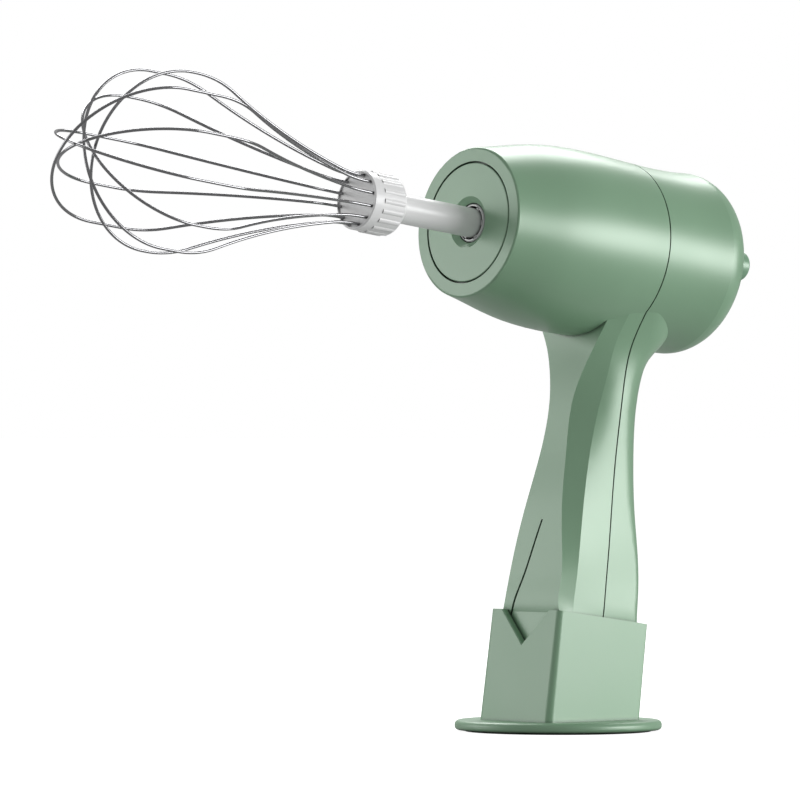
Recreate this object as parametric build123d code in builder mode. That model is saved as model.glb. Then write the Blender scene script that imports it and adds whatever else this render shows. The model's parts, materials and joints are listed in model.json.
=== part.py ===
"""Cordless hand mixer with a balloon whisk, standing in its socket stand.

Row frame: the origin is the centre of the stand's underside, +Z is up and the whisk points to -X.
The mixer and the socket lean back by LEAN. Their own directions are x (backward, along the drive axis),
y (away from the near side) and z (upward, along the handle), and the planes below give them.
Lengths are millimetres.
"""

from build123d import *
import math
import os

# Stand
LEAN = 7.6
DISC_RADIUS = 34.6
DISC_BOTTOM = 0.5
DISC_TOP = 3.8
PAD_RADIUS = 31.5
PAD_THICKNESS = 1.3
SOCKET_FRONT = -20.0
SOCKET_BACK = 19.8
SOCKET_HALF_WIDTH = 17.4
SOCKET_TOP = 38.5
SOCKET_DRAFT = 0.7
SOCKET_FRONT_ROUNDING = 1.9
POCKET_FRONT = -17.7
POCKET_BACK = 18.5
POCKET_HALF_WIDTH = 15.4
POCKET_FLOOR = 9.0
NOTCH_HALF_WIDTH = 11.5
NOTCH_BEVEL = 0.35
STAND_SCREW_SPACING = 18.0

# Housing
HEAD_HEIGHT = 162.4
FACE_X = -62.0
SEAM_X = 1.5
REAR_X = 40.9
WALL = 2.2
SEAM_GAP = 0.5
SEAM_DEPTH = 0.8
FACE_RADIUS = 25.15
SHOULDER_RADIUS = 30.4
BARREL_RADIUS = 30.6
TAIL_RADIUS = 30.85
TAIL_ROUNDING = 10.8
CAP_RADIUS = 19.9
CAP_RECESS = 20.45
CAP_THICKNESS = 2.2
CAP_PEG_ORBIT = 14.0
CAP_PEG_RADIUS = 1.5
SEAL_RADIUS = 8.0
HANDLE_BOTTOM = 9.2
FOOT_THICKNESS = 3.0

# Drive train
MODULE = 0.6
SUN_TEETH = 12
PLANET_TEETH = 18
RING_TEETH = SUN_TEETH + 2 * PLANET_TEETH
PLANET_COUNT = 3
PLANET_ORBIT = MODULE * (SUN_TEETH + PLANET_TEETH) / 2
PRESSURE_ANGLE = math.radians(20)
ADDENDUM = 0.8 * MODULE
DEDENDUM = 1.1 * MODULE
BACKLASH = 0.14
GEAR_FRONT = -36.5
GEAR_LENGTH = 8.0
PIN_RADIUS = 1.5
SHAFT_RADIUS = 3.0
RUNNING_GAP = 0.04
GEARBOX_RADIUS = 20.0
RING_SEAT_RADIUS = 16.0
GEARBOX_FRONT = -44.0
GEARBOX_BACK = -27.0
COVER_THICKNESS = 2.0
CARRIER_FRONT = -40.5
COVER_SCREW_ORBIT = 18.0
MOTOR_RADIUS = 12.2
MOTOR_FRONT = GEARBOX_BACK + COVER_THICKNESS
MOTOR_BACK = MOTOR_FRONT + 29.0
MOTOR_SCREW_ORBIT = 8.0
MOTOR_SHAFT_RADIUS = 1.15
CHUCK_RADIUS = 6.4
CHUCK_FRONT = -60.7
CHUCK_BACK = -46.0
KEY_COUNT = 6
KEY_WIDTH = 1.5

# Whisk
STEM_RADIUS = 4.9
STEM_TAIL = -52.0
HUB_FRONT = -110.8
HUB_BACK = -96.6
HUB_RADIUS = 9.9
HUB_RIB_COUNT = 18
WIRE_RADIUS = 0.5
WIRE_PITCH_RADIUS = 8.3
WIRE_ROOT = -104.5
LEG_END = HUB_FRONT - 1.0
SPLAY_RADIUS = 44.0
SPLAY_ANGLE = 12.4
SPREAD_RADIUS = 255.0
CAGE_ANGLE = 24.2
CAGE_RISE = 1.0
CROWN_RADIUS = 40.0
CAGE_RADIUS = (
    WIRE_PITCH_RADIUS
    + SPLAY_RADIUS * (1 - math.cos(math.radians(SPLAY_ANGLE)))
    + SPREAD_RADIUS * (math.cos(math.radians(SPLAY_ANGLE)) - math.cos(math.radians(CAGE_ANGLE)))
    + CAGE_RISE * math.sin(math.radians(CAGE_ANGLE))
    + CROWN_RADIUS * (1 - math.cos(math.radians(CAGE_ANGLE)))
)
# How far forward each loop's tip reaches, and the first loop's angle about the drive axis
WIRE_TIPS = (-226.4, -231.2, -219.5, -224.0, -221.7, -228.6)
WIRE_STEP = 180 / len(WIRE_TIPS)
FIRST_WIRE = 14.2

# Rear button
BUTTON_Y = -17.0
BUTTON_RISE = 0.9
BUTTON_RADIUS = 5.0
BUTTON_PROUD = 5.6
BUTTON_TRAVEL = 1.0

BOARD_RADIUS = 25.0
BOARD_BACK = 23.6
BOARD_POST_ORBIT = 21.5
STEM_FRONT = BOARD_BACK + 4.6
FLANGE_FRONT = 35.6

# Handle contents
CELL_RADIUS = 9.2
CELL_BOTTOM = 33.0
CELL_LENGTH = 65.0
CELL_X = 0.3
PORT_HEIGHT = 48.0
PORT_WIDTH = 9.0
PORT_DEPTH = 3.3
PORT_LENGTH = 4.6
BOARD_X = 12.1

# The slanted groove in the handle's front: its upper and lower ends, as y and height
FRONT_GROOVE = ((-0.1, 69.2), (12.2, 30.0))

# Each housing screw: its height, and the front and back of its posts
HOUSING_SCREWS = ((22.0, -16.0, 18.3), (106.0, -12.6, 14.5))

BACKWARD = Vector(1, 0, 0).rotate(Axis.Y, LEAN)
UPWARD = Vector(0, 0, 1).rotate(Axis.Y, LEAN)
mixer = Plane(origin=(0, 0, 0), x_dir=BACKWARD, z_dir=UPWARD)
drive_centre = mixer.from_local_coords((0, 0, HEAD_HEIGHT))
drive_axis = Axis(drive_centre, BACKWARD)
drive_profile = Plane(origin=drive_centre, x_dir=BACKWARD, z_dir=(0, -1, 0))
side_view = Plane(origin=(0, 0, 0), x_dir=BACKWARD, z_dir=(0, -1, 0))


def across(height):
    """The plane square to the handle at this height: its x is backward, its y away from the near side."""
    return mixer.offset(height)


def facing(x, y=0, rise=0):
    """The plane square to the drive axis at x: its x is y, its y is upward and its normal is backward."""
    origin = mixer.from_local_coords((x, y, HEAD_HEIGHT + rise))
    return Plane(origin=origin, x_dir=(0, 1, 0), z_dir=BACKWARD)


def turn(*corners, mode=Mode.ADD):
    """Turns a closed outline of (x, radius) corners about the drive axis."""
    with BuildSketch(drive_profile) as outline:
        with BuildLine():
            Polyline(*corners, close=True)
        make_face()
    revolve(outline.sketch, axis=drive_axis, mode=mode)


def bar(radius, front, back, y=0, rise=0, mode=Mode.ADD):
    """A round bar along the drive direction, from front to back."""
    with BuildSketch(facing(front, y, rise)) as outline:
        Circle(radius)
    extrude(outline.sketch, amount=back - front, mode=mode)


def block(front, back, near, far, bottom, top, mode=Mode.ADD):
    """A square block in the mixer's own directions."""
    with BuildSketch(across(bottom)) as outline:
        with Locations(((front + back) / 2, (near + far) / 2)):
            Rectangle(back - front, far - near)
    extrude(outline.sketch, amount=top - bottom, mode=mode)


# ---------------------------------------------------------------- housing form

# height, front, half-width of the flat front, the facet's outer edge as x and half-width,
# greatest half-width, back, rear corner radius
HANDLE_STATIONS = (
    (38.0, -17.2, 14.3, -11.8, 14.9, 15.1, 18.3, 2.5),
    (49.0, -17.05, 13.1, -11.7, 14.8, 14.95, 17.9, 3.0),
    (60.0, -16.8, 11.7, -11.4, 14.5, 14.7, 17.2, 4.2),
    (76.0, -16.2, 8.7, -10.3, 13.0, 14.1, 15.9, 7.5),
    (93.0, -14.4, 6.3, -8.35, 11.5, 13.65, 15.0, 10.0),
    (110.0, -13.3, 5.8, -6.05, 11.5, 13.9, 14.4, 11.4),
    (120.0, -12.3, 8.4, -4.85, 12.6, 14.3, 15.0, 11.4),
    (127.0, -11.6, 11.4, -5.0, 14.2, 15.3, 17.2, 12.2),
    (133.0, -11.4, 14.8, -5.0, 16.6, 17.4, 22.2, 14.6),
    (138.0, -11.5, 17.6, -5.0, 19.4, 19.8, 24.6, 18.0),
    (142.5, -11.8, 20.0, -5.0, 22.0, 22.4, 25.0, 20.5),
    (149.0, -12.0, 21.6, -5.0, 23.4, 23.8, 25.0, 21.0),
)


def handle_section(height, front, flat, edge, edge_half, half_width, back, corner, inset):
    """One cross-section of the handle: a flat front, two facets, curved sides and rounded rear corners."""
    side_end = back - corner
    with BuildSketch(across(height)) as section:
        with BuildLine():
            Polyline((edge, edge_half), (front, flat), (front, -flat), (edge, -edge_half))
            TangentArc((side_end, -half_width), (edge, -edge_half), tangent=(-1, 0))
            RadiusArc((side_end, -half_width), (back, corner - half_width), -corner)
            Line((back, corner - half_width), (back, half_width - corner))
            RadiusArc((back, half_width - corner), (side_end, half_width), -corner)
            TangentArc((side_end, half_width), (edge, edge_half), tangent=(-1, 0))
        make_face()
        if inset:
            offset(amount=-inset, mode=Mode.REPLACE)
    return section.sketch


def barrel_outline(inset):
    """Half of the barrel's long section, this far inside its outer skin."""
    face = FACE_RADIUS - inset
    front = FACE_X + inset
    back = REAR_X - inset
    rounding = TAIL_ROUNDING - inset
    with BuildSketch(drive_profile) as outline:
        with BuildLine():
            Polyline((back, TAIL_RADIUS - TAIL_ROUNDING), (back, 0), (front, 0), (front, face - 0.8))
            RadiusArc((front, face - 0.8), (front + 0.8, face + 0.1), 0.8)
            nose = Spline(
                (front + 0.8, face + 0.1),
                (FACE_X + 11.8, 27.55 - inset),
                (FACE_X + 21.0, 29.4 - inset),
                (FACE_X + 29.0, SHOULDER_RADIUS - inset),
                (FACE_X + 55.0, BARREL_RADIUS - inset),
                (REAR_X - TAIL_ROUNDING, TAIL_RADIUS - inset),
            )
            RadiusArc(nose @ 1, (back, TAIL_RADIUS - TAIL_ROUNDING), rounding)
        make_face()
    return outline.sketch


def housing(inset):
    """The barrel and the handle as one solid, this far inside their outer skin."""
    with BuildPart() as form:
        sections = [handle_section(*station, inset) for station in HANDLE_STATIONS]
        loft(sections)
        first_height, *first_section = HANDLE_STATIONS[0]
        extrude(handle_section(HANDLE_BOTTOM, *first_section, inset), amount=first_height - HANDLE_BOTTOM)
        revolve(barrel_outline(inset), axis=drive_axis)
    return form.part


def gear(teeth, outward, inward, thinning, turned, mode=Mode.ADD):
    """An involute gear's outline: its tips and roots lie outward and inward of the pitch circle."""
    pitch_radius = MODULE * teeth / 2
    base_radius = pitch_radius * math.cos(PRESSURE_ANGLE)
    root_radius = pitch_radius - inward
    tip_radius = pitch_radius + outward
    half_tooth = math.pi / (2 * teeth) - thinning / (2 * pitch_radius)

    def flank_angle(radius):
        roll = math.acos(min(1.0, base_radius / radius))
        at_pitch = math.tan(PRESSURE_ANGLE) - PRESSURE_ANGLE
        return half_tooth + at_pitch - (math.tan(roll) - roll)

    start = max(root_radius, base_radius)
    radii = [start + (tip_radius - start) * step / 5 for step in range(6)]
    radii.insert(0, root_radius - 0.1)
    angles = [flank_angle(radius) for radius in radii]
    right = [(r * math.cos(a), -r * math.sin(a)) for r, a in zip(radii, angles)]
    left = [(x, -y) for x, y in reversed(right)]
    with BuildSketch(Plane.XY, mode=Mode.PRIVATE) as outline:
        Circle(root_radius)
        with PolarLocations(0, teeth, start_angle=turned):
            Polygon(*right, *left, align=None)
    add(outline.sketch, mode=mode)


outer_form = housing(0)
groove_floor = housing(SEAM_DEPTH)
cavity = housing(WALL)


def seam_groove():
    """Cuts the shallow groove that shows the seam between the two shells."""
    with BuildPart(mode=Mode.PRIVATE) as groove:
        block(SEAM_X - SEAM_GAP / 2, SEAM_X + SEAM_GAP / 2, -40, 40, 0, 200)
        add(groove_floor, mode=Mode.SUBTRACT)
    add(groove.part, mode=Mode.SUBTRACT)


def front_groove():
    """Cuts the slanted decorative groove in the flat front of the handle."""
    start, end = FRONT_GROOVE
    with BuildPart(mode=Mode.PRIVATE) as groove:
        with BuildSketch(facing(-25, 0, -HEAD_HEIGHT)):
            with BuildLine():
                Polyline(
                    (start[0] - SEAM_GAP, start[1]),
                    (end[0] - SEAM_GAP, end[1]),
                    (end[0] + SEAM_GAP, end[1]),
                    (start[0] + SEAM_GAP / 2, start[1]),
                    close=True,
                )
            make_face()
        extrude(amount=12)
        add(groove_floor, mode=Mode.SUBTRACT)
    add(groove.part, mode=Mode.SUBTRACT)


# ---------------------------------------------------------------- stand

under_disc = Plane.XY.offset(PAD_THICKNESS).rotated((180, 0, 0))
under_socket = Plane.XY.offset(DISC_TOP).rotated((180, 0, 0))

with BuildPart() as stand_disc:
    with BuildSketch(Plane.XY.offset(DISC_BOTTOM)):
        Circle(DISC_RADIUS)
    extrude(amount=DISC_TOP - DISC_BOTTOM)
    fillet(stand_disc.edges().filter_by(GeomType.CIRCLE).sort_by(Axis.Z)[-1], radius=1.6)
    fillet(stand_disc.edges().filter_by(GeomType.CIRCLE).sort_by(Axis.Z)[0], radius=1.2)
    with BuildSketch(Plane.XY.offset(DISC_BOTTOM)):
        Circle(PAD_RADIUS)
    extrude(amount=PAD_THICKNESS - DISC_BOTTOM, mode=Mode.SUBTRACT)
    with Locations(under_disc):
        with GridLocations(STAND_SCREW_SPACING, 0, 2, 1):
            CounterSinkHole(radius=1.6, counter_sink_radius=2.9)

with BuildPart() as foot_pad:
    with BuildSketch(Plane.XY):
        Circle(PAD_RADIUS - 0.2)
    extrude(amount=PAD_THICKNESS)
    fillet(foot_pad.edges().filter_by(GeomType.CIRCLE).sort_by(Axis.Z)[0], radius=0.3)

with BuildPart() as stand_socket:
    with BuildSketch(across(SOCKET_TOP)) as socket_outline:
        with Locations(((SOCKET_FRONT + SOCKET_BACK) / 2, 0)):
            Rectangle(SOCKET_BACK - SOCKET_FRONT, 2 * SOCKET_HALF_WIDTH)
        fillet(socket_outline.vertices().group_by(Axis.X)[0], radius=SOCKET_FRONT_ROUNDING)
        fillet(socket_outline.vertices().group_by(Axis.X)[-1], radius=0.8)
    extrude(amount=-SOCKET_TOP - 5, taper=-SOCKET_DRAFT)
    split(bisect_by=Plane.XY.offset(DISC_TOP), keep=Keep.TOP)
    block(
        POCKET_FRONT,
        POCKET_BACK,
        -POCKET_HALF_WIDTH,
        POCKET_HALF_WIDTH,
        POCKET_FLOOR,
        SOCKET_TOP + 1,
        mode=Mode.SUBTRACT,
    )
    with BuildSketch(facing(SOCKET_FRONT - 1, 0, SOCKET_TOP - HEAD_HEIGHT)):
        with BuildLine():
            Polyline(
                (-NOTCH_HALF_WIDTH - 1, 1),
                (NOTCH_HALF_WIDTH + 1, 1),
                (0, -NOTCH_HALF_WIDTH),
                close=True,
            )
        make_face()
    extrude(amount=POCKET_FRONT - SOCKET_FRONT + 1.5, mode=Mode.SUBTRACT)
    front_wall = stand_socket.faces().sort_by(Axis.X)[0]
    notch_edges = front_wall.edges().filter_by(lambda edge: 0.6 < abs((edge % 0.5).dot(UPWARD)) < 0.8)
    chamfer(notch_edges, length=NOTCH_BEVEL)
    with Locations(under_socket):
        with GridLocations(STAND_SCREW_SPACING, 0, 2, 1):
            Hole(radius=1.15, depth=2.8)

with BuildPart() as stand_screws:
    with BuildSketch(Plane.XZ) as screw_profile:
        with BuildLine():
            Polyline(
                (0, PAD_THICKNESS),
                (2.8, PAD_THICKNESS),
                (1.5, PAD_THICKNESS + 1.3),
                (1.5, DISC_TOP - 0.1),
                (1.15, DISC_TOP),
                (1.15, DISC_TOP + 2.2),
                (0, DISC_TOP + 2.5),
                close=True,
            )
        make_face()
    screw = revolve(screw_profile.sketch, axis=Axis.Z, mode=Mode.PRIVATE)
    with GridLocations(STAND_SCREW_SPACING, 0, 2, 1):
        add(screw)

# ---------------------------------------------------------------- housing

with BuildPart() as front_shell:
    add(outer_form)
    split(bisect_by=facing(SEAM_X), keep=Keep.BOTTOM)
    add(cavity, mode=Mode.SUBTRACT)
    plate_back = FACE_X + 2 * CAP_THICKNESS
    turn((FACE_X + 1, 0), (plate_back, 0), (plate_back, 24.0), (FACE_X + 1, 24.0))
    bar(CAP_RECESS, FACE_X - 1, FACE_X + CAP_THICKNESS, mode=Mode.SUBTRACT)
    turn(
        (plate_back - 0.5, GEARBOX_RADIUS + 0.1),
        (-34.0, GEARBOX_RADIUS + 0.1),
        (-34.0, GEARBOX_RADIUS + 2.0),
        (plate_back - 0.5, GEARBOX_RADIUS + 2.0),
    )
    bar(SEAL_RADIUS, FACE_X, plate_back + 1, mode=Mode.SUBTRACT)
    with BuildSketch(facing(FACE_X + 1)):
        with PolarLocations(CAP_PEG_ORBIT, 3, start_angle=90):
            Circle(CAP_PEG_RADIUS)
    extrude(amount=5, mode=Mode.SUBTRACT)
    for height, post_front, _ in HOUSING_SCREWS:
        bar(3.0, post_front, SEAM_X, 0, height - HEAD_HEIGHT)
        bar(1.15, post_front + 2.5, SEAM_X + 1, 0, height - HEAD_HEIGHT, mode=Mode.SUBTRACT)
    seam_groove()
    front_groove()

with BuildPart() as rear_shell:
    add(outer_form)
    split(bisect_by=facing(SEAM_X), keep=Keep.TOP)
    add(cavity, mode=Mode.SUBTRACT)
    for height, _, post_back in HOUSING_SCREWS:
        bar(4.2, SEAM_X, post_back - 0.5, 0, height - HEAD_HEIGHT)
        bar(1.6, SEAM_X - 1, post_back + 2, 0, height - HEAD_HEIGHT, mode=Mode.SUBTRACT)
        bar(3.0, post_back - 3.0, post_back + 4, 0, height - HEAD_HEIGHT, mode=Mode.SUBTRACT)
    with BuildSketch(facing(BOARD_BACK)):
        with PolarLocations(BOARD_POST_ORBIT, 3, start_angle=90):
            Circle(2.4)
    extrude(amount=REAR_X - 1 - BOARD_BACK)
    with BuildSketch(facing(BOARD_BACK)):
        with PolarLocations(BOARD_POST_ORBIT, 3, start_angle=90):
            Circle(1.0)
    extrude(amount=6, mode=Mode.SUBTRACT)
    bar(BUTTON_RADIUS + 0.3, REAR_X - 5, REAR_X + 1, BUTTON_Y, BUTTON_RISE, mode=Mode.SUBTRACT)
    with BuildSketch(facing(BOARD_X + 2, 0, PORT_HEIGHT - HEAD_HEIGHT)):
        SlotOverall(PORT_WIDTH + 0.4, PORT_DEPTH + 0.4)
    extrude(amount=6, mode=Mode.SUBTRACT)
    seam_groove()

with BuildPart() as front_cap:
    turn(
        (FACE_X, 8.7),
        (FACE_X, CAP_RADIUS - 0.25),
        (FACE_X + 0.25, CAP_RADIUS),
        (FACE_X + CAP_THICKNESS, CAP_RADIUS),
        (FACE_X + CAP_THICKNESS, 6.7),
        (FACE_X + 1.5, 6.7),
    )
    with BuildSketch(facing(FACE_X + CAP_THICKNESS)):
        with PolarLocations(CAP_PEG_ORBIT, 3, start_angle=90):
            Circle(CAP_PEG_RADIUS)
    extrude(amount=2.0)

with BuildPart() as drive_seal:
    turn(
        (FACE_X + CAP_THICKNESS, CHUCK_RADIUS + 0.1),
        (FACE_X + CAP_THICKNESS, SEAL_RADIUS),
        (FACE_X + 2 * CAP_THICKNESS, SEAL_RADIUS),
        (FACE_X + 2 * CAP_THICKNESS, CHUCK_RADIUS + 0.1),
    )

with BuildPart() as handle_foot:
    extrude(handle_section(HANDLE_BOTTOM, *HANDLE_STATIONS[0][1:], WALL + 0.1), amount=FOOT_THICKNESS)

with BuildPart() as shell_screws:
    for height, post_front, post_back in HOUSING_SCREWS:
        rise = height - HEAD_HEIGHT
        bar(2.8, post_back - 3.0, post_back - 1.3, 0, rise)
        bar(1.5, SEAM_X, post_back - 3.0, 0, rise)
        bar(1.15, post_front + 4.0, SEAM_X, 0, rise)
        with BuildSketch(facing(post_back - 2.3, 0, rise)):
            Rectangle(3.4, 0.7)
            Rectangle(0.7, 3.4)
        extrude(amount=3, mode=Mode.SUBTRACT)

# ---------------------------------------------------------------- gearbox and motor

with BuildPart() as gearbox_housing:
    turn(
        (GEARBOX_FRONT, 6.0),
        (GEARBOX_FRONT, GEARBOX_RADIUS),
        (GEARBOX_BACK, GEARBOX_RADIUS),
        (GEARBOX_BACK, RING_SEAT_RADIUS),
        (GEARBOX_FRONT + 2.5, RING_SEAT_RADIUS),
        (GEARBOX_FRONT + 2.5, 6.0),
    )
    with BuildSketch(facing(GEARBOX_BACK)):
        with PolarLocations(COVER_SCREW_ORBIT, 3, start_angle=30):
            Circle(1.2)
    extrude(amount=-7, mode=Mode.SUBTRACT)

with BuildPart() as output_bushing:
    turn((-45.4, SHAFT_RADIUS + RUNNING_GAP), (-45.4, 6.0), (-40.9, 6.0), (-40.9, SHAFT_RADIUS + RUNNING_GAP))

with BuildPart() as ring_gear:
    with BuildSketch(facing(GEAR_FRONT - 0.4)):
        Circle(RING_SEAT_RADIUS)
        gear(RING_TEETH, DEDENDUM, ADDENDUM, -BACKLASH / 2, 180 / RING_TEETH, mode=Mode.SUBTRACT)
    extrude(amount=GEAR_LENGTH + 0.8)

with BuildPart() as gearbox_cover:
    bar(GEARBOX_RADIUS, GEARBOX_BACK, GEARBOX_BACK + COVER_THICKNESS)
    bar(3.6, GEARBOX_BACK - 1, GEARBOX_BACK + 4, mode=Mode.SUBTRACT)
    with BuildSketch(facing(GEARBOX_BACK - 1)):
        with PolarLocations(COVER_SCREW_ORBIT, 3, start_angle=30):
            Circle(1.4)
        with PolarLocations(MOTOR_SCREW_ORBIT, 2):
            Circle(1.4)
    extrude(amount=4, mode=Mode.SUBTRACT)
    with BuildSketch(facing(GEARBOX_BACK - 0.01)):
        with PolarLocations(MOTOR_SCREW_ORBIT, 2):
            Circle(2.4)
    extrude(amount=1.21, mode=Mode.SUBTRACT)

with BuildPart() as gearbox_screws:
    with BuildSketch(facing(MOTOR_FRONT)):
        with PolarLocations(COVER_SCREW_ORBIT, 3, start_angle=30):
            Circle(2.0)
    extrude(amount=1.4)
    with BuildSketch(facing(MOTOR_FRONT)):
        with PolarLocations(COVER_SCREW_ORBIT, 3, start_angle=30):
            Circle(1.2)
    extrude(amount=-8)

with BuildPart() as motor_screws:
    with BuildSketch(facing(GEARBOX_BACK + 0.1)):
        with PolarLocations(MOTOR_SCREW_ORBIT, 2):
            Circle(2.3)
    extrude(amount=1.1)
    with BuildSketch(facing(GEARBOX_BACK + 0.1)):
        with PolarLocations(MOTOR_SCREW_ORBIT, 2):
            Circle(1.2)
    extrude(amount=3.4)

with BuildPart() as motor_can:
    turn(
        (MOTOR_FRONT - 1.8, 1.6),
        (MOTOR_FRONT - 1.8, 3.5),
        (MOTOR_FRONT, 3.5),
        (MOTOR_FRONT, MOTOR_RADIUS),
        (MOTOR_BACK, MOTOR_RADIUS),
        (MOTOR_BACK, MOTOR_RADIUS - 1.0),
        (MOTOR_FRONT + 1.6, MOTOR_RADIUS - 1.0),
        (MOTOR_FRONT + 1.6, 1.6),
    )
    with BuildSketch(facing(MOTOR_FRONT - 1)):
        with PolarLocations(MOTOR_SCREW_ORBIT, 2):
            Circle(1.2)
    extrude(amount=4, mode=Mode.SUBTRACT)

with BuildPart() as motor_magnets:
    with BuildSketch(facing(MOTOR_FRONT + 5)):
        Circle(MOTOR_RADIUS - 1.0)
        Circle(MOTOR_RADIUS - 2.6, mode=Mode.SUBTRACT)
        Rectangle(2 * MOTOR_RADIUS, 7.0, mode=Mode.SUBTRACT)
    extrude(amount=18)

with BuildPart() as motor_end_cap:
    bar(MOTOR_RADIUS, MOTOR_BACK, MOTOR_BACK + 3.0)
    bar(2.2, MOTOR_BACK - 0.5, MOTOR_BACK + 1.8, mode=Mode.SUBTRACT)
    with BuildSketch(facing(MOTOR_BACK + 3.0)):
        with Locations((0, 8.5), (0, -8.5)):
            Rectangle(2.4, 0.6)
    extrude(amount=4.0)

with BuildPart() as motor_shaft:
    bar(MOTOR_SHAFT_RADIUS, GEAR_FRONT, MOTOR_BACK + 1.2)

with BuildPart() as armature:
    with BuildSketch(facing(MOTOR_FRONT + 7)):
        Circle(MOTOR_RADIUS - 3.0)
        Circle(MOTOR_SHAFT_RADIUS, mode=Mode.SUBTRACT)
        with PolarLocations(MOTOR_RADIUS - 4.0, 5):
            Rectangle(5.0, 1.4, mode=Mode.SUBTRACT)
    extrude(amount=13)
    with BuildSketch(facing(MOTOR_FRONT + 20)):
        Circle(2.8)
        Circle(MOTOR_SHAFT_RADIUS, mode=Mode.SUBTRACT)
    extrude(amount=5)

with BuildPart() as sun_gear:
    with BuildSketch(facing(GEAR_FRONT)):
        gear(SUN_TEETH, ADDENDUM, DEDENDUM, BACKLASH / 2, 0)
        Circle(MOTOR_SHAFT_RADIUS, mode=Mode.SUBTRACT)
    extrude(amount=GEAR_LENGTH)

with BuildPart() as planet_carrier:
    with BuildSketch(facing(CARRIER_FRONT)):
        Circle(PLANET_ORBIT + 3.0)
        Circle(SHAFT_RADIUS, mode=Mode.SUBTRACT)
    extrude(amount=3.0)
    with BuildSketch(facing(CARRIER_FRONT + 2)):
        with PolarLocations(PLANET_ORBIT, PLANET_COUNT):
            Circle(PIN_RADIUS)
    extrude(amount=GEAR_FRONT + GEAR_LENGTH + 0.5 - CARRIER_FRONT - 2)

with BuildPart() as output_shaft:
    bar(SHAFT_RADIUS, CHUCK_BACK - 5.4, CARRIER_FRONT + 3.0)

with BuildPart() as drive_socket:
    turn(
        (CHUCK_FRONT, 5.4),
        (CHUCK_FRONT, CHUCK_RADIUS - 0.4),
        (CHUCK_FRONT + 0.4, CHUCK_RADIUS),
        (CHUCK_BACK, CHUCK_RADIUS),
        (CHUCK_BACK, SHAFT_RADIUS),
        (CHUCK_BACK - 5.5, SHAFT_RADIUS),
        (CHUCK_BACK - 5.5, STEM_RADIUS + 0.08),
        (CHUCK_FRONT + 0.4, STEM_RADIUS + 0.08),
    )
    with BuildSketch(facing(CHUCK_FRONT - 1)):
        with PolarLocations(STEM_RADIUS, KEY_COUNT):
            Rectangle(2.0, KEY_WIDTH + 0.2)
    extrude(amount=CHUCK_BACK - 5.5 - CHUCK_FRONT + 1, mode=Mode.SUBTRACT)
    bar(STEM_RADIUS + 0.75, CHUCK_FRONT - 1, CHUCK_FRONT + 3.0, mode=Mode.SUBTRACT)

planets = {}
for number in range(PLANET_COUNT):
    orbit_angle = number * 360 / PLANET_COUNT
    with BuildPart() as planet_gear:
        with BuildSketch(facing(GEAR_FRONT)):
            with PolarLocations(PLANET_ORBIT, 1, start_angle=orbit_angle):
                gear(PLANET_TEETH, ADDENDUM, DEDENDUM, BACKLASH / 2, 180 / PLANET_TEETH)
                Circle(PIN_RADIUS + RUNNING_GAP, mode=Mode.SUBTRACT)
        extrude(amount=GEAR_LENGTH)
    planets[f"planet_gear_{number + 1}"] = planet_gear

# ---------------------------------------------------------------- handle contents and electronics

with BuildPart() as battery_cell:
    with BuildSketch(across(CELL_BOTTOM)):
        with Locations((CELL_X, 0)):
            Circle(CELL_RADIUS)
    extrude(amount=CELL_LENGTH)
    fillet(battery_cell.edges().filter_by(GeomType.CIRCLE), radius=0.6)

with BuildPart() as battery_holder:
    with BuildSketch(across(CELL_BOTTOM - 1.4)):
        with Locations((CELL_X, 0)):
            Circle(CELL_RADIUS + 1.3)
    extrude(amount=CELL_LENGTH - 2)
    with BuildSketch(across(CELL_BOTTOM - 0.1)):
        with Locations((CELL_X, 0)):
            Circle(CELL_RADIUS + 0.1)
    extrude(amount=CELL_LENGTH, mode=Mode.SUBTRACT)
    block(CELL_X, 20, -6, 6, CELL_BOTTOM + 26, CELL_BOTTOM + 70, mode=Mode.SUBTRACT)

with BuildPart() as charge_board:
    block(BOARD_X, BOARD_X + 1.0, -7.5, 7.5, PORT_HEIGHT - 6, PORT_HEIGHT + 8)

with BuildPart() as charge_port:
    with BuildSketch(facing(BOARD_X + 1.0, 0, PORT_HEIGHT - HEAD_HEIGHT)):
        SlotOverall(PORT_WIDTH, PORT_DEPTH)
    extrude(amount=PORT_LENGTH)
    with BuildSketch(facing(BOARD_X + 1.8, 0, PORT_HEIGHT - HEAD_HEIGHT)):
        SlotOverall(PORT_WIDTH - 0.6, PORT_DEPTH - 0.6)
        Rectangle(PORT_WIDTH - 2.3, 0.7, mode=Mode.SUBTRACT)
    extrude(amount=PORT_LENGTH, mode=Mode.SUBTRACT)

with BuildPart() as control_board:
    bar(BOARD_RADIUS, BOARD_BACK - 1.6, BOARD_BACK)
    with BuildSketch(facing(BOARD_BACK - 2)):
        with PolarLocations(BOARD_POST_ORBIT, 3, start_angle=90):
            Circle(1.2)
    extrude(amount=4, mode=Mode.SUBTRACT)

with BuildPart() as board_screws:
    with BuildSketch(facing(BOARD_BACK - 1.6)):
        with PolarLocations(BOARD_POST_ORBIT, 3, start_angle=90):
            Circle(1.9)
    extrude(amount=-1.2)
    with BuildSketch(facing(BOARD_BACK - 1.6)):
        with PolarLocations(BOARD_POST_ORBIT, 3, start_angle=90):
            Circle(1.0)
    extrude(amount=6.5)

with BuildPart() as button_switch:
    with BuildSketch(facing(BOARD_BACK, BUTTON_Y, BUTTON_RISE)):
        Rectangle(6.2, 6.2)
    extrude(amount=3.6)
    bar(1.9, BOARD_BACK + 0.8, BOARD_BACK + 5, BUTTON_Y, BUTTON_RISE, mode=Mode.SUBTRACT)

with BuildPart() as switch_plunger:
    bar(1.75, BOARD_BACK + 2.0, STEM_FRONT, BUTTON_Y, BUTTON_RISE)

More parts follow.
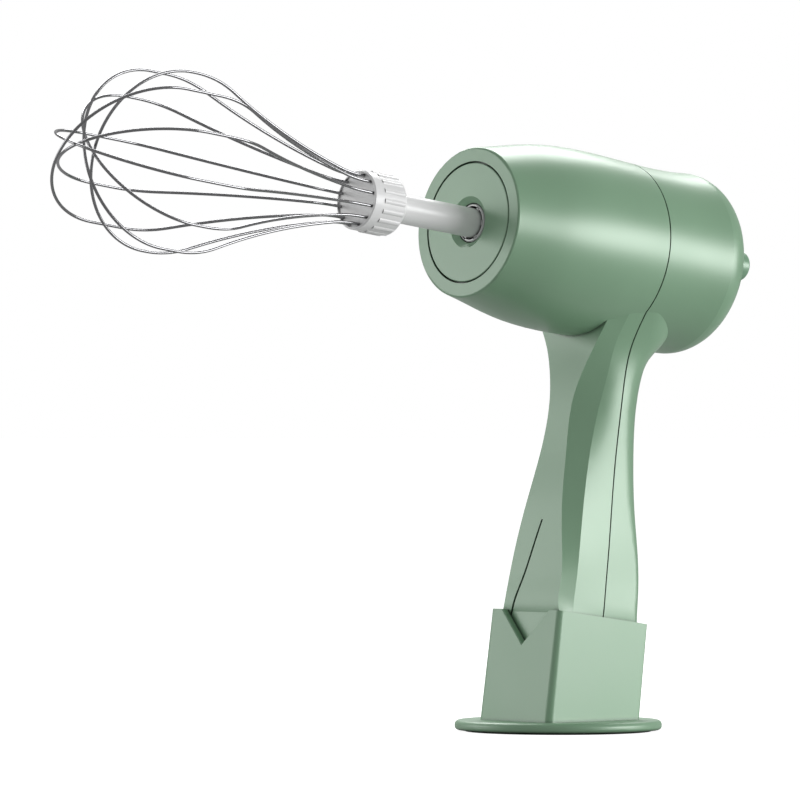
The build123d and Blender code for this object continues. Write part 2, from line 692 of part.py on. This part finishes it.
with BuildPart() as rear_button:
    bar(1.75, STEM_FRONT, FLANGE_FRONT + 0.5, BUTTON_Y, BUTTON_RISE)
    bar(6.4, FLANGE_FRONT, FLANGE_FRONT + 1.2, BUTTON_Y, BUTTON_RISE)
    bar(BUTTON_RADIUS, FLANGE_FRONT + 1.0, REAR_X + BUTTON_PROUD, BUTTON_Y, BUTTON_RISE)
    fillet(rear_button.faces().sort_by(drive_axis)[-1].edges(), radius=1.0)

with BuildPart() as power_leads:
    for side in (-1, 1):
        with BuildLine(side_view.offset(6.5 * side)) as route:
            FilletPolyline(
                (CELL_X, CELL_BOTTOM + CELL_LENGTH),
                (CELL_X, 122),
                (9, 143),
                (BOARD_BACK - 1.6, 143),
                radius=7,
            )
        with BuildSketch(Plane(origin=route.line @ 0, z_dir=route.line % 0)):
            Circle(0.9)
        sweep(path=route.line)

# ---------------------------------------------------------------- whisk

with BuildPart() as whisk_stem:
    turn((HUB_BACK, 0), (HUB_BACK, STEM_RADIUS), (STEM_TAIL, STEM_RADIUS), (STEM_TAIL, 0))
    with BuildSketch(facing(CHUCK_FRONT + 0.2)):
        with PolarLocations(STEM_RADIUS - 0.3, KEY_COUNT):
            Rectangle(1.8, KEY_WIDTH)
    extrude(amount=STEM_TAIL - CHUCK_FRONT - 0.2)

with BuildPart() as whisk_hub:
    turn(
        (HUB_FRONT + 0.6, 0),
        (HUB_FRONT + 0.6, HUB_RADIUS - 0.85),
        (HUB_FRONT, HUB_RADIUS - 0.7),
        (HUB_FRONT, HUB_RADIUS - 0.4),
        (HUB_FRONT + 0.4, HUB_RADIUS),
        (HUB_BACK - 0.9, HUB_RADIUS),
        (HUB_BACK, HUB_RADIUS - 0.9),
        (HUB_BACK, 0),
    )
    with BuildSketch(facing(HUB_FRONT + 4.2)):
        with PolarLocations(HUB_RADIUS - 0.8, HUB_RIB_COUNT):
            Circle(1.15)
    extrude(amount=HUB_BACK - HUB_FRONT - 5.6)
    with BuildSketch(facing(WIRE_ROOT)):
        with PolarLocations(WIRE_PITCH_RADIUS, 2 * len(WIRE_TIPS), start_angle=-FIRST_WIRE):
            Circle(WIRE_RADIUS)
    extrude(amount=HUB_FRONT - WIRE_ROOT - 1, mode=Mode.SUBTRACT)


def half_loop(tip):
    """One leg of a wire loop from the hub to the loop's tip, in the plane of the loop."""
    leg = Line((WIRE_ROOT, WIRE_PITCH_RADIUS), (LEG_END, WIRE_PITCH_RADIUS))
    splay = JernArc(leg @ 1, leg % 1, SPLAY_RADIUS, -SPLAY_ANGLE)
    spread = JernArc(splay @ 1, splay % 1, SPREAD_RADIUS, SPLAY_ANGLE - CAGE_ANGLE)
    rise = Line(spread @ 1, spread @ 1 + (spread % 1) * CAGE_RISE)
    crown = JernArc(rise @ 1, rise % 1, CROWN_RADIUS, CAGE_ANGLE)
    side = Line(crown @ 1, (tip + CAGE_RADIUS, CAGE_RADIUS))
    JernArc(side @ 1, side % 1, CAGE_RADIUS, 90)


wires = {}
for number, tip in enumerate(WIRE_TIPS):
    outward = Vector(0, -1, 0).rotate(drive_axis, -FIRST_WIRE - number * WIRE_STEP)
    loop_plane = Plane(origin=drive_centre, x_dir=BACKWARD, z_dir=BACKWARD.cross(outward))
    with BuildPart() as whisk_wire:
        with BuildLine(loop_plane) as loop:
            half_loop(tip)
            mirror(about=Plane(origin=drive_centre, z_dir=outward))
        path = loop.wire()
        with BuildSketch(Plane(origin=path @ 0, z_dir=path % 0)):
            Circle(WIRE_RADIUS)
        sweep(path=path)
    wires[f"whisk_wire_{number + 1}"] = whisk_wire

# ---------------------------------------------------------------- files

pieces = {
    "stand_disc": stand_disc,
    "foot_pad": foot_pad,
    "stand_socket": stand_socket,
    "stand_screws": stand_screws,
    "front_shell": front_shell,
    "rear_shell": rear_shell,
    "front_cap": front_cap,
    "drive_seal": drive_seal,
    "handle_foot": handle_foot,
    "shell_screws": shell_screws,
    "gearbox_housing": gearbox_housing,
    "output_bushing": output_bushing,
    "ring_gear": ring_gear,
    "gearbox_cover": gearbox_cover,
    "gearbox_screws": gearbox_screws,
    "motor_screws": motor_screws,
    "motor_can": motor_can,
    "motor_magnets": motor_magnets,
    "motor_end_cap": motor_end_cap,
    "motor_shaft": motor_shaft,
    "armature": armature,
    "sun_gear": sun_gear,
    "planet_carrier": planet_carrier,
    "output_shaft": output_shaft,
    "drive_socket": drive_socket,
    "battery_cell": battery_cell,
    "battery_holder": battery_holder,
    "charge_board": charge_board,
    "charge_port": charge_port,
    "control_board": control_board,
    "board_screws": board_screws,
    "button_switch": button_switch,
    "switch_plunger": switch_plunger,
    "rear_button": rear_button,
    "power_leads": power_leads,
    "whisk_stem": whisk_stem,
    "whisk_hub": whisk_hub,
    **planets,
    **wires,
}

os.makedirs("parts", exist_ok=True)
for name, piece in pieces.items():
    piece.part.label = name
    export_step(piece.part, f"parts/{name}.step")
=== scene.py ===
import json
import math

import bpy
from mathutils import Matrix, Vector


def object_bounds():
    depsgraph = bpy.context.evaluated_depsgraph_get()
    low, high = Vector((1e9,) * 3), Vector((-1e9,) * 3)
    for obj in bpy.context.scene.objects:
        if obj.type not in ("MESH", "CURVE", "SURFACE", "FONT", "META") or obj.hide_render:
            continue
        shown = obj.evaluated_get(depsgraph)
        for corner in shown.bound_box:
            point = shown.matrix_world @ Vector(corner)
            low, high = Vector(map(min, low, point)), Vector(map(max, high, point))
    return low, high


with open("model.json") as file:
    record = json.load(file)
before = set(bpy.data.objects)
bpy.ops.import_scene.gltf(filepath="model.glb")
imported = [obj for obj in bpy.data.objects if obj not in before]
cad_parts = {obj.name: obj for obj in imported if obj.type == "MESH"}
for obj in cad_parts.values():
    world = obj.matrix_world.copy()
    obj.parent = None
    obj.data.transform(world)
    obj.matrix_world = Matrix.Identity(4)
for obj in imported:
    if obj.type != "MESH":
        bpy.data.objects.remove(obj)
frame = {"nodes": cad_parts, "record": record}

cad_low, cad_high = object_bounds()
record = frame["record"]
nodes = frame["nodes"]
MIDDLE = (cad_low + cad_high) / 2

# The camera looks at a point on the object's middle plane, between the whisk and the handle.
CAMERA_TARGET = Vector((-0.06945, 0.0, 0.11035))
CAMERA_AZIMUTH = -40.48
CAMERA_ELEVATION = -0.2
CAMERA_DISTANCE = 2.2931
CAMERA_LENS = 315.0

# The backdrop and the floor look brighter to the camera than the light that they give to the object.
SKY_SEEN = 1.0
SKY_LIGHT = 0.36
PAPER_GLOW = 0.92
FLOOR_HALF = 40.0

# Painted shade: a surface's colour is darkened where another surface stands within this many metres of it.
PAINTED_SHADE_REACH = 0.0014

# The clear sheen over moulded plastic is this rough.
COAT_ROUGHNESS = 0.32


def direction(azimuth, elevation):
    """The unit vector from the object toward this azimuth and elevation, in degrees; azimuth 0 is -Y."""
    turn = math.radians(azimuth)
    climb = math.radians(elevation)
    return Vector((math.sin(turn) * math.cos(climb), -math.cos(turn) * math.cos(climb), math.sin(climb)))


def place_facing(thing, target, back, distance):
    """Puts a lamp or camera this far from the target, looking at it."""
    thing.location = target + back * distance
    thing.rotation_euler = (-back).to_track_quat("-Z", "Y").to_euler()
    bpy.context.scene.collection.objects.link(thing)


# ---------------------------------------------------------------- shader helpers

def new_material(name):
    """A material with an empty Principled shader, and its tree, shader and object coordinates."""
    material = bpy.data.materials.new(name)
    material.use_nodes = True
    tree = material.node_tree
    shader = tree.nodes["Principled BSDF"]
    place = tree.nodes.new("ShaderNodeTexCoord").outputs["Object"]
    return material, tree, shader, place


def noise(tree, place, scale, detail=3.0, roughness=0.5, stretch=(1, 1, 1)):
    """A noise pattern from 0 to 1, this many cells to the metre, drawn out by stretch."""
    mapping = tree.nodes.new("ShaderNodeMapping")
    mapping.inputs["Scale"].default_value = stretch
    tree.links.new(place, mapping.inputs["Vector"])
    pattern = tree.nodes.new("ShaderNodeTexNoise")
    pattern.inputs["Scale"].default_value = scale
    pattern.inputs["Detail"].default_value = detail
    pattern.inputs["Roughness"].default_value = roughness
    tree.links.new(mapping.outputs["Vector"], pattern.inputs["Vector"])
    return pattern.outputs["Fac"]


def between(tree, factor, low, high):
    """A number that goes from low to high as factor goes from 0.3 to 0.7."""
    span = tree.nodes.new("ShaderNodeMapRange")
    span.inputs["From Min"].default_value = 0.3
    span.inputs["From Max"].default_value = 0.7
    span.inputs["To Min"].default_value = low
    span.inputs["To Max"].default_value = high
    tree.links.new(factor, span.inputs["Value"])
    return span.outputs["Result"]


def tint(tree, factor, first, second):
    """A colour that goes from first to second with factor."""
    ramp = tree.nodes.new("ShaderNodeValToRGB")
    ramp.color_ramp.elements[0].position = 0.3
    ramp.color_ramp.elements[0].color = (*first, 1)
    ramp.color_ramp.elements[1].position = 0.7
    ramp.color_ramp.elements[1].color = (*second, 1)
    tree.links.new(factor, ramp.inputs["Fac"])
    return ramp.outputs["Color"]


def bump(tree, shader, height, strength, depth):
    """Raises the surface by height, this many metres deep."""
    relief = tree.nodes.new("ShaderNodeBump")
    relief.inputs["Strength"].default_value = strength
    relief.inputs["Distance"].default_value = depth
    tree.links.new(height, relief.inputs["Height"])
    tree.links.new(relief.outputs["Normal"], shader.inputs["Normal"])


def paint_crevice_shade(tree, colour):
    """A colour with painted shade, made darker where another surface stands close by, as in seams."""
    hollow = tree.nodes.new("ShaderNodeAmbientOcclusion")
    hollow.samples = 8
    hollow.inputs["Distance"].default_value = PAINTED_SHADE_REACH
    mix = tree.nodes.new("ShaderNodeMixRGB")
    mix.blend_type = "MULTIPLY"
    mix.inputs["Fac"].default_value = 1.0
    span = tree.nodes.new("ShaderNodeMapRange")
    span.inputs["From Min"].default_value = 0.2
    span.inputs["From Max"].default_value = 0.9
    span.inputs["To Min"].default_value = 0.12
    tree.links.new(hollow.outputs["AO"], span.inputs["Value"])
    tree.links.new(colour, mix.inputs["Color1"])
    tree.links.new(span.outputs["Result"], mix.inputs["Color2"])
    return mix.outputs["Color"]


def shade(colour, factor):
    """A colour made darker or lighter."""
    return tuple(min(1.0, channel * factor) for channel in colour)


# ---------------------------------------------------------------- materials

def moulded(name, colour, roughness, grain=2600, relief=0.00002, metallic=0.0, coat=0.0, gloss=0.5):
    """Moulded plastic: a fine spark-eroded grain, faint cloudiness, uneven gloss and painted shade in seams
    and crevices.
    """
    material, tree, shader, place = new_material(name)
    cloud = noise(tree, place, 35, 4)
    fine = noise(tree, place, grain, 2, 0.6)
    clouded = tint(tree, cloud, shade(colour, 0.965), shade(colour, 1.03))
    # The base colour carries painted shade where other surfaces stand close by.
    tree.links.new(paint_crevice_shade(tree, clouded), shader.inputs["Base Color"])
    tree.links.new(between(tree, cloud, roughness - 0.025, roughness + 0.025), shader.inputs["Roughness"])
    shader.inputs["Metallic"].default_value = metallic
    shader.inputs["Specular IOR Level"].default_value = gloss
    shader.inputs["Coat Weight"].default_value = coat
    shader.inputs["Coat Roughness"].default_value = COAT_ROUGHNESS
    bump(tree, shader, fine, 0.25, relief)
    return material


def metal(name, colour, roughness, stretch=(1, 1, 1), scale=900, relief=0.00001):
    """Metal with fine drawn or turned lines along the direction that stretch shortens."""
    material, tree, shader, place = new_material(name)
    lines = noise(tree, place, scale, 3, 0.6, stretch)
    cloud = noise(tree, place, 60, 3)
    tree.links.new(tint(tree, cloud, shade(colour, 0.93), shade(colour, 1.04)), shader.inputs["Base Color"])
    tree.links.new(between(tree, lines, roughness * 0.8, roughness * 1.25), shader.inputs["Roughness"])
    shader.inputs["Metallic"].default_value = 1.0
    bump(tree, shader, lines, 0.2, relief)
    return material


def winding():
    """Enamelled copper wire, in turns across the motor's axis."""
    material, tree, shader, place = new_material("copper_winding")
    wave = tree.nodes.new("ShaderNodeTexWave")
    wave.inputs["Scale"].default_value = 700
    wave.inputs["Distortion"].default_value = 0.6
    tree.links.new(place, wave.inputs["Vector"])
    colour = tint(tree, wave.outputs["Fac"], (0.28, 0.09, 0.035), (0.62, 0.24, 0.10))
    tree.links.new(colour, shader.inputs["Base Color"])
    tree.links.new(between(tree, noise(tree, place, 300), 0.25, 0.4), shader.inputs["Roughness"])
    shader.inputs["Metallic"].default_value = 0.8
    bump(tree, shader, wave.outputs["Fac"], 0.6, 0.0001)
    return material


SAGE = (0.222, 0.402, 0.246)
SAGE_BUTTON = (0.205, 0.385, 0.240)

materials = {
    "shell_green": moulded("shell_green", SAGE, 0.38, metallic=0.06, coat=0.3, gloss=1.0),
    "stand_green": moulded("stand_green", SAGE, 0.42, metallic=0.06, coat=0.25, gloss=1.0),
    "button_green": moulded("button_green", SAGE_BUTTON, 0.40, metallic=0.06, coat=0.3, gloss=1.0),
    "foot_rubber": moulded("foot_rubber", (0.018, 0.02, 0.019), 0.78, grain=1800, relief=0.00005),
    "zinc_screw": metal("zinc_screw", (0.55, 0.56, 0.58), 0.32),
    "gear_nylon": moulded("gear_nylon", (0.78, 0.75, 0.64), 0.42, grain=2000),
    "dark_plastic": moulded("dark_plastic", (0.02, 0.021, 0.023), 0.5, grain=1500, relief=0.00004),
    "sintered_bronze": metal("sintered_bronze", (0.48, 0.29, 0.13), 0.42, scale=3000),
    "steel": metal("steel", (0.56, 0.56, 0.57), 0.28),
    "ferrite": moulded("ferrite", (0.045, 0.045, 0.05), 0.55, metallic=0.3),
    "copper_winding": winding(),
    "cell_wrap": moulded("cell_wrap", (0.03, 0.12, 0.33), 0.24, grain=900, coat=0.4),
    "board_laminate": moulded("board_laminate", (0.012, 0.11, 0.045), 0.34, grain=1200, coat=0.3),
    "port_metal": metal("port_metal", (0.6, 0.6, 0.61), 0.3),
    "lead_insulation": moulded("lead_insulation", (0.42, 0.015, 0.012), 0.35, grain=900),
    "chuck_white": moulded("chuck_white", (0.84, 0.85, 0.85), 0.24, grain=1500, coat=0.5),
    "whisk_white": moulded("whisk_white", (0.92, 0.925, 0.925), 0.33, grain=1800, coat=0.2),
    "whisk_steel": metal("whisk_steel", (0.34, 0.34, 0.35), 0.11, stretch=(0.1, 1, 1), scale=1500),
}

for entry in record["subparts"]:
    node = nodes[entry["node"]]
    node.data.materials.clear()
    node.data.materials.append(materials[entry["material_slot"]])


# ---------------------------------------------------------------- studio

def soft_light(name, azimuth, elevation, distance, width, height, power):
    """A rectangular softbox that faces the object from this direction."""
    light = bpy.data.lights.new(name, "AREA")
    light.shape = "RECTANGLE"
    light.size = width
    light.size_y = height
    light.energy = power
    lamp = bpy.data.objects.new(name, light)
    place_facing(lamp, MIDDLE, direction(azimuth, elevation), distance)


def two_for_camera(tree, lighting, seen, output):
    """Shows the second shader to the camera, and lights the object with the first."""
    path = tree.nodes.new("ShaderNodeLightPath")
    choice = tree.nodes.new("ShaderNodeMixShader")
    tree.links.new(path.outputs["Is Camera Ray"], choice.inputs["Fac"])
    tree.links.new(lighting, choice.inputs[1])
    tree.links.new(seen, choice.inputs[2])
    tree.links.new(choice.outputs["Shader"], tree.nodes[output].inputs["Surface"])


def studio_world():
    """A white backdrop that gives a softer light than it shows."""
    world = bpy.data.worlds.new("studio")
    bpy.context.scene.world = world
    world.use_nodes = True
    tree = world.node_tree
    background = tree.nodes["Background"]
    background.inputs["Color"].default_value = (1, 1, 1, 1)
    background.inputs["Strength"].default_value = SKY_LIGHT
    seen = tree.nodes.new("ShaderNodeBackground")
    seen.inputs["Color"].default_value = (1, 1, 1, 1)
    seen.inputs["Strength"].default_value = SKY_SEEN
    two_for_camera(tree, background.outputs["Background"], seen.outputs["Background"], "World Output")


def floor_paper():
    """Pale matt paper, which glows for the camera so that the floor runs into the backdrop."""
    material, tree, paper, place = new_material("floor_paper")
    paper.inputs["Roughness"].default_value = 0.9
    fibres = tint(tree, noise(tree, place, 400, 2), (0.37, 0.37, 0.37), (0.39, 0.39, 0.39))
    tree.links.new(fibres, paper.inputs["Base Color"])
    glow = tree.nodes.new("ShaderNodeEmission")
    glow.inputs["Strength"].default_value = PAPER_GLOW
    lit = tree.nodes.new("ShaderNodeAddShader")
    tree.links.new(paper.outputs["BSDF"], lit.inputs[0])
    tree.links.new(glow.outputs["Emission"], lit.inputs[1])
    two_for_camera(tree, paper.outputs["BSDF"], lit.outputs["Shader"], "Material Output")
    return material


def studio_floor():
    """A wide flat floor under the object."""
    mesh = bpy.data.meshes.new("floor")
    corners = [(-1, -1), (1, -1), (1, 1), (-1, 1)]
    mesh.from_pydata([(x * FLOOR_HALF, y * FLOOR_HALF, 0) for x, y in corners], [], [(0, 1, 2, 3)])
    floor = bpy.data.objects.new("floor", mesh)
    bpy.context.scene.collection.objects.link(floor)
    floor.data.materials.append(floor_paper())


def studio_camera():
    """A long lens, level with the object."""
    camera = bpy.data.cameras.new("camera")
    camera.lens = CAMERA_LENS
    camera.sensor_width = 36.0
    camera.clip_start = 0.1
    camera.clip_end = 50
    viewer = bpy.data.objects.new("camera", camera)
    place_facing(viewer, CAMERA_TARGET, direction(CAMERA_AZIMUTH, CAMERA_ELEVATION), CAMERA_DISTANCE)
    bpy.context.scene.camera = viewer


soft_light("right_box", azimuth=38, elevation=3, distance=1.3, width=1.0, height=0.55, power=12)
soft_light("left_back_box", azimuth=-140, elevation=4, distance=1.4, width=0.9, height=0.8, power=5.4)
soft_light("top_box", azimuth=145, elevation=44, distance=1.3, width=1.2, height=0.6, power=13.5)
studio_world()
studio_floor()
studio_camera()
bpy.context.scene.view_settings.view_transform = "Standard"
